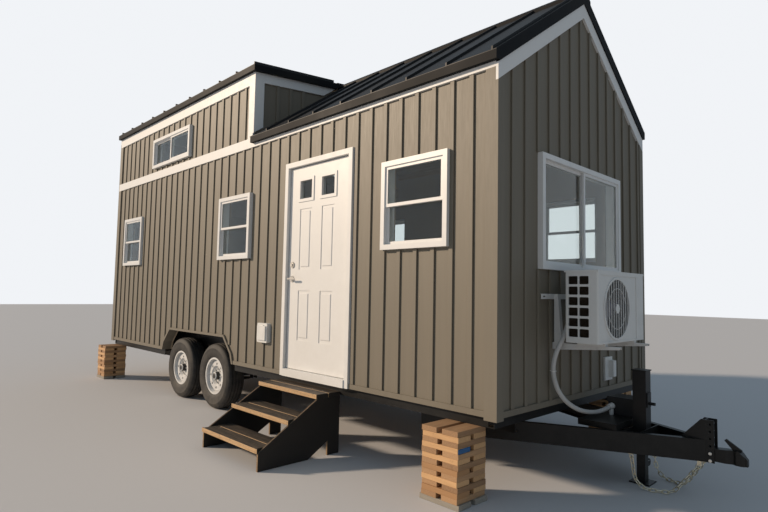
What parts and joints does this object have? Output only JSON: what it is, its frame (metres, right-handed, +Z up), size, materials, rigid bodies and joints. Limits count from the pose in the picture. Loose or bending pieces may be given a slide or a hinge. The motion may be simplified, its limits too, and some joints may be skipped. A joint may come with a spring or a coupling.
{
  "type": "tiny house on wheels",
  "caption": "Tiny house on a tandem-axle trailer: gabled front, shed dormers, board-and-batten siding, seamed metal roof, steps, condenser and tongue jack.",
  "frame": {"origin": "centre of the overall box, on the ground", "axes": "+X towards the hitch, -Y out of the door side, +Z up"},
  "size_m": [8.585, 3.455, 4.11],
  "materials": {
    "siding": "painted board and batten",
    "floor_board": "sealed boards",
    "well_steel": "black paint",
    "roof_frame": "bare framing and boards",
    "roof_metal": "satin black",
    "white_paint": "painted white",
    "vinyl": "white vinyl",
    "glass": "clear, slightly green",
    "door_paint": "satin white",
    "hardware": "satin nickel",
    "frame_black": "black paint with scuffs",
    "jack_black": "black paint",
    "tyre": "black rubber",
    "wheel_white": "gloss white",
    "battery_plastic": "moulded black",
    "chain_steel": "yellow zinc",
    "step_wood": "black paint worn to bare wood",
    "crib_wood": "bare pine",
    "condenser_paint": "off-white",
    "fan_plastic": "dark grey",
    "bracket_steel": "white powder coat",
    "white_plastic": "white",
    "line_cover": "grey-white foam sleeve"
  },
  "bodies": {
    "house": {"axles": "frame_black", "base_trim": "siding", "battery_box": "battery_plastic", "chassis_rails": "frame_black", "condenser_bracket": "bracket_steel", "condenser_cabinet": "condenser_paint", "condenser_fan": "fan_plastic", "condenser_guard": "condenser_paint", "corner_posts": "siding", "coupler": "frame_black", "coupler_mount": "frame_black", "crib_stacks": "crib_wood", "crossmembers": "frame_black", "door_casing": "white_paint", "door_wall_front": "siding", "door_wall_header": "siding", "door_wall_rear": "siding", "dormer_cheeks": "siding", "dormer_roof_deck": "roof_frame", "dormer_roofing": "roof_metal", "dormer_walls": "siding", "far_wall": "siding", "floor_deck": "floor_board", "hinge_pins": "hardware", "hitch_gable_wall": "siding", "jack_tube": "jack_black", "leaf_springs": "frame_black", "line_fittings": "white_plastic", "line_set": "line_cover", "loft_floor": "floor_board", "main_beams": "frame_black", "main_roof_deck": "roof_frame", "main_roofing": "roof_metal", "outlet_cover": "white_plastic", "power_inlet": "white_plastic", "rear_gable_wall": "siding", "ridge_cap": "roof_metal", "roof_flashing": "roof_metal", "safety_chains": "chain_steel", "step_stringers": "step_wood", "step_treads": "step_wood", "tongue_beams": "frame_black", "wheel_wells": "well_steel", "white_trim": "white_paint", "window_frames": "vinyl", "window_glass": "glass"},
    "entry_door": {"entry_door": "door_paint", "door_glass": "glass", "hinge_knuckles": "hardware", "door_lock": "hardware"},
    "door_lever": {"door_lever": "hardware"},
    "jack_leg": {"jack_leg": "jack_black"},
    "wheel_front_door_side": {"wheel_front_door_side": "wheel_white", "tyre_front_door_side": "tyre"},
    "wheel_front_far_side": {"wheel_front_far_side": "wheel_white", "tyre_front_far_side": "tyre"},
    "wheel_rear_door_side": {"wheel_rear_door_side": "wheel_white", "tyre_rear_door_side": "tyre"},
    "wheel_rear_far_side": {"wheel_rear_far_side": "wheel_white", "tyre_rear_far_side": "tyre"}
  },
  "joints": [
    {"name": "entry_door_swing", "type": "hinge", "parent": "house", "child": "entry_door", "pos_m": [1.5745, -0.9255, 1.65], "axis": [0, 0, 1], "range_deg": [0, 100]},
    {"name": "door_lever_turn", "type": "hinge", "parent": "entry_door", "child": "door_lever", "pos_m": [0.7215, -0.9475, 1.535], "axis": [0, 1, 0], "range_deg": [0, 45], "stiffness_Nm_per_rad": 0.6},
    {"name": "wheel_front_door_side_spin", "type": "hinge", "parent": "house", "child": "wheel_front_door_side", "pos_m": [-0.8725, -0.79, 0.385], "axis": [0, 1, 0], "continuous": true},
    {"name": "wheel_front_far_side_spin", "type": "hinge", "parent": "house", "child": "wheel_front_far_side", "pos_m": [-0.8725, 1.535, 0.385], "axis": [0, 1, 0], "continuous": true},
    {"name": "wheel_rear_door_side_spin", "type": "hinge", "parent": "house", "child": "wheel_rear_door_side", "pos_m": [-1.7825, -0.79, 0.385], "axis": [0, 1, 0], "continuous": true},
    {"name": "wheel_rear_far_side_spin", "type": "hinge", "parent": "house", "child": "wheel_rear_far_side", "pos_m": [-1.7825, 1.535, 0.385], "axis": [0, 1, 0], "continuous": true},
    {"name": "jack_leg_slide", "type": "slide", "parent": "house", "child": "jack_leg", "axis": [0, 0, 1], "range_m": [0, 0.2]}
  ]
}
